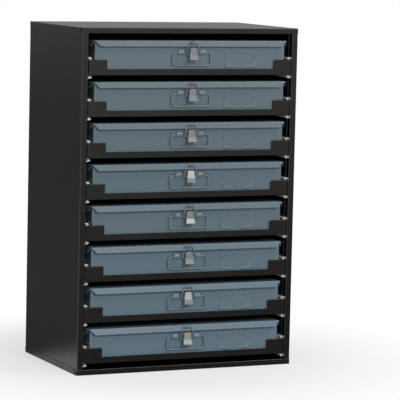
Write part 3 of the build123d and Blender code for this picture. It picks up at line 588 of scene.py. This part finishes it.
start_piece()
label_corner = box_at(
    (LABEL_START, case_face - CORNER_PROUD, label_foot),
    (LABEL_START + CORNER_ARM, case_face + SHEET_BITE, label_foot + CORNER_ARM))
edit_faces(label_corner, (1, 0, 0))
bpy.ops.mesh.extrude_region_move(
    TRANSFORM_OT_translate={"value": (CORNER_LENGTH - CORNER_ARM, 0, 0)})
for face in bmesh.from_edit_mesh(label_corner.data).faces:
    over_square = face.calc_center_median().x < LABEL_START + CORNER_ARM
    face.select_set(face.normal.z > FACING and over_square)
bpy.ops.mesh.extrude_region_move(
    TRANSFORM_OT_translate={"value": (0, 0, CORNER_HEIGHT - CORNER_ARM)})
bpy.ops.mesh.select_mode(type="EDGE")
for edge in bmesh.from_edit_mesh(label_corner.data).edges:
    edge.select_set(all(vertex.co.x < LABEL_START + NEAR and vertex.co.z < label_foot + NEAR
                        for vertex in edge.verts))
bpy.ops.mesh.bevel(offset=CORNER_TURN, segments=5, affect="EDGES")
bpy.ops.object.mode_set(mode="OBJECT")
active_piece("label_corner")
apply_modifier(label_corner, "BEVEL", width=CORNER_ROUND, segments=4, limit_method="ANGLE",
               angle_limit=math.radians(40))
to_middle = Matrix.Translation((LABEL_START + LABEL_WIDTH / 2, 0, label_foot + LABEL_HEIGHT / 2))
corner_set = [label_corner]
for across, upward in ((-1, 1), (1, -1), (-1, -1)):
    mirror = to_middle @ Matrix.Diagonal((across, 1, upward, 1)) @ to_middle.inverted()
    corner_set.append(copied(label_corner, f"label_corner_{len(corner_set) + 1}", mirror))
label_corners = joined(corner_set)
bpy.ops.object.shade_smooth_by_angle(angle=math.radians(40))
for number in drawer_numbers:
    drop = Matrix.Translation((0, 0, case_feet[number] - case_feet[1]))
    corners = copied(label_corners, f"label_corners_{number}", drop)
    dressed(corners, case_enamels[number])
    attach(corners, f"drawer_{number}")
bpy.data.objects.remove(label_corners)


# ---- Latches ----
# Each lever is folded from sheet steel with a cheek down each side, and the bail is bent wire.
# Both are sprayed. The lever's upper edge is left coppery. Some levers carry a pale painted glint
# on the face or the tip, a painted reflection of the lamps: the shares of glint and copper are
# given for the drawers where they show most.
# painted light: paler than the case's enamel, for the light the lever's upward-tilted face catches
LEVER_LIT_ENAMEL = (0.165, 0.195, 0.213)
BAIL_ENAMEL = (0.13, 0.16, 0.18)
PAINTED_GLINT = (0.52, 0.52, 0.47)
COPPER_EDGE = (0.42, 0.17, 0.085)
COPPER_RISE = 0.0015
COPPER_FADE = 0.0004
CREASE_DROP = 0.0167
CREASE_FADE = 0.0003
# shares of painted glint, a painted reflection, on each lever's face and tip
FACE_GLINT = {4: 0.9, 7: 0.75, 8: 0.25}
TIP_GLINT = {3: 0.2, 5: 0.9, 6: 0.2, 8: 0.6}
COPPER_SHOWS = {1: 0.8, 2: 0.9, 3: 0.7, 5: 1.0, 8: 0.9}
PLAIN_FACE = 0.03
PLAIN_TIP = 0.06
PLAIN_COPPER = 0.15


def lever_finish(number):
    """Enamel with a painted glint on the face or the tip, and a coppery upper edge."""
    lever_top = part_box(f"latch_lever_{number}")[1][2]
    crease = lever_top - CREASE_DROP
    copper_foot = lever_top - COPPER_RISE
    made, tree, shader = node_material(f"lever_enamel_{number}")
    coat = sprayed(tree, LEVER_LIT_ENAMEL, roughness=0.28, mottle=0.1, dust=0.0, wear=0.3)
    height = axes_of(tree, own_place(tree))["Z"]
    glint = graded(tree, height, crease - CREASE_FADE, crease + CREASE_FADE,
                    TIP_GLINT.get(number, PLAIN_TIP), FACE_GLINT.get(number, PLAIN_FACE))
    copper = graded(tree, height, copper_foot - COPPER_FADE, copper_foot + COPPER_FADE,
                    0.0, COPPER_SHOWS.get(number, PLAIN_COPPER))
    # painted reflection: a pale glint on the lever's face or tip
    glinted = mixed(tree, glint, coat["Base Color"], (*PAINTED_GLINT, 1))
    feed(tree, shader, {**coat, "Base Color": mixed(tree, copper, glinted, (*COPPER_EDGE, 1))})
    return made


bail_enamel = coated_steel("bail_enamel", BAIL_ENAMEL,
                           roughness=0.16, mottle=0.1, dust=0.0, wear=0.1)
for number in drawer_numbers:
    finish_node(f"latch_lever_{number}", lever_finish(number))
    finish_node(f"latch_bail_{number}", bail_enamel)


# ---- Carrying handles ----
# Each is one length of steel wire, bent to a flat loop with its ends turned into the two sockets.
# It is sprayed a glossier, slightly paler enamel than the case.
HANDLE_ENAMEL = (0.150, 0.190, 0.215)

handle_enamel = coated_steel("handle_enamel", HANDLE_ENAMEL,
                             roughness=0.14, mottle=0.1, dust=0.0, wear=0.0)
for number in drawer_numbers:
    finish_node(f"handle_{number}", handle_enamel)


# ---- Floor, background and lamps ----
# Pale seamless paper runs into a white background. A soft lamp stands almost straight in front of
# the cabinet and a larger, weaker one high at its right, with even light from all round. To glossy
# rays the paper glows with a painted reflection instead: a lit patch left of the cabinet and
# darker bands, as black screens around the cabinet would show.
FLOOR_SIZE = 40
FLOOR_GAP = 0.0002
PAPER = (0.80, 0.80, 0.79)
PAPER_ROUGHNESS = 0.9
PAPER_GLOW = 0.62                # the paper's white under the cabinet; past the fade it is full
GLOW_FADE = (0.25, 0.75)
LIT_LEFT_OF = (-0.22, -0.30)     # where the painted reflection shows lit paper: left of the cabinet and
LIT_AHEAD_OF = (0.20, 0.04)      # ahead of its rear, fading in from the first place to the second
SCREEN_AXIS = (0.6, -0.8, 0)     # the painted screens' bands lie one behind the other along this direction
SCREEN_SPAN = 16
SCREEN_SHADES = ((0.09, 0.06), (0.42, 0.17), (0.56, 0.03), (0.68, 0.05), (0.91, 0.80))
SCREEN_WARMTH = 0.97
ROOM_LIGHT = 0.42
GLOSS_LEVEL = 0.58               # the air in a glossy surface, level with it and straight above
GLOSS_ABOVE = 1.0
LAMP_REACH = 5.0
LAMPS = {"front_lamp": {"power": 105, "size": 0.7, "azimuth": 4, "elevation": 27},
         "high_lamp": {"power": 45, "size": 1.0, "azimuth": 52, "elevation": 52}}

paper, tree, shader = node_material("floor_paper")
feed(tree, shader, {"Base Color": (*PAPER, 1), "Roughness": PAPER_ROUGHNESS,
                    "Specular IOR Level": 0.0})
place = own_place(tree)
reach = node_in(tree, "ShaderNodeVectorMath", {0: place}, operation="LENGTH").outputs["Value"]
glow = graded(tree, reach, *GLOW_FADE, low=PAPER_GLOW, style="SMOOTHSTEP")
axes = axes_of(tree, place)
lit_paper = reckoned(tree, "MULTIPLY",
                     graded(tree, axes["X"], *LIT_LEFT_OF, style="SMOOTHSTEP"),
                     graded(tree, axes["Y"], *LIT_AHEAD_OF, style="SMOOTHSTEP"))
toward_screens = node_in(tree, "ShaderNodeVectorMath",
                         {0: place, 1: [part / SCREEN_SPAN for part in SCREEN_AXIS]},
                         operation="DOT_PRODUCT").outputs["Value"]
screens = node_in(tree, "ShaderNodeValToRGB",
                  {"Fac": reckoned(tree, "ADD", toward_screens, 0.5)})
shades = screens.color_ramp.elements
stops_at_first = len(shades)
for stop, (spot, level) in enumerate(SCREEN_SHADES):
    shade = shades[stop] if stop < stops_at_first else shades.new(spot)
    shade.position = spot
    shade.color = (level, level, SCREEN_WARMTH * level, 1)
# painted reflection: glossy rays see the paper glow with the lit patch and the screens' bands
mirrored = node_in(tree, "ShaderNodeEmission",
                   {"Color": mixed(tree, lit_paper, screens.outputs["Color"], (*PAPER, 1))})
rays = node_in(tree, "ShaderNodeLightPath").outputs
white = node_in(tree, "ShaderNodeEmission")
seen = node_in(tree, "ShaderNodeMixShader",
               {"Fac": reckoned(tree, "MULTIPLY", glow, rays["Is Camera Ray"]),
                1: shader.outputs[0], 2: white.outputs[0]})
shown = node_in(tree, "ShaderNodeMixShader",
                {"Fac": rays["Is Glossy Ray"], 1: seen.outputs[0], 2: mirrored.outputs[0]})
feed(tree, tree.nodes["Material Output"], {"Surface": shown.outputs[0]})

start_piece()
bpy.ops.mesh.primitive_plane_add(size=FLOOR_SIZE, location=(0, 0, cad_low[2] - FLOOR_GAP))
dressed(active_piece("floor"), paper)

world = bpy.data.worlds.new("studio")
bpy.context.scene.world = world
world.use_nodes = True
air = world.node_tree
room = air.nodes["Background"]
feed(air, room, {"Color": (1, 1, 1, 1), "Strength": ROOM_LIGHT})
backdrop = node_in(air, "ShaderNodeBackground", {"Color": (1, 1, 1, 1)})
upward = axes_of(air, node_in(air, "ShaderNodeTexCoord").outputs["Generated"])["Z"]
in_gloss = node_in(air, "ShaderNodeBackground", {
    "Strength": graded(air, upward, low=GLOSS_LEVEL, high=GLOSS_ABOVE, style="SMOOTHSTEP")})
rays = node_in(air, "ShaderNodeLightPath").outputs
gloss_or_glass = reckoned(air, "MAXIMUM", rays["Is Glossy Ray"], rays["Is Transmission Ray"])
lit = node_in(air, "ShaderNodeMixShader",
              {"Fac": gloss_or_glass, 1: room.outputs[0], 2: in_gloss.outputs[0]})
shown = node_in(air, "ShaderNodeMixShader",
                {"Fac": rays["Is Camera Ray"], 1: lit.outputs[0], 2: backdrop.outputs[0]})
feed(air, air.nodes["World Output"], {"Surface": shown.outputs[0]})

middle = (Vector(cad_low) + Vector(cad_high)) / 2
for lamp_name, given in LAMPS.items():
    lamp = bpy.data.lights.new(lamp_name, "AREA")
    lamp.shape = "SQUARE"
    lamp.size = given["size"]
    lamp.energy = given["power"]
    stand = bpy.data.objects.new(lamp_name, lamp)
    bpy.context.scene.collection.objects.link(stand)
    azimuth, elevation = math.radians(given["azimuth"]), math.radians(given["elevation"])
    toward_lamp = Vector((math.cos(elevation) * math.sin(azimuth),
                          -math.cos(elevation) * math.cos(azimuth), math.sin(elevation)))
    stand.location = middle + LAMP_REACH * toward_lamp
    stand.rotation_euler = (-toward_lamp).to_track_quat("-Z", "Y").to_euler()


# ---- Camera ----
# It stands five and a half metres off with a long lens, to the left of the cabinet's front and a
# little above its top, and looks slightly down.
CAMERA_PLACE = (-2.204, -5.076, 0.967)
CAMERA_TURN = math.radians(-24.42)
CAMERA_TILT = math.radians(90 - 6.21)
CAMERA_ROLL = math.radians(1.31)
CAMERA_LENS = 220.7

lens = bpy.data.cameras.new("camera")
lens.lens = CAMERA_LENS
camera = bpy.data.objects.new("camera", lens)
bpy.context.scene.collection.objects.link(camera)
aim = Matrix.Rotation(CAMERA_TURN, 4, "Z") @ Matrix.Rotation(CAMERA_TILT, 4, "X")
camera.matrix_world = (Matrix.Translation(CAMERA_PLACE) @ aim
                       @ Matrix.Rotation(CAMERA_ROLL, 4, "Z"))
bpy.context.scene.camera = camera
bpy.context.scene.view_settings.view_transform = "Standard"
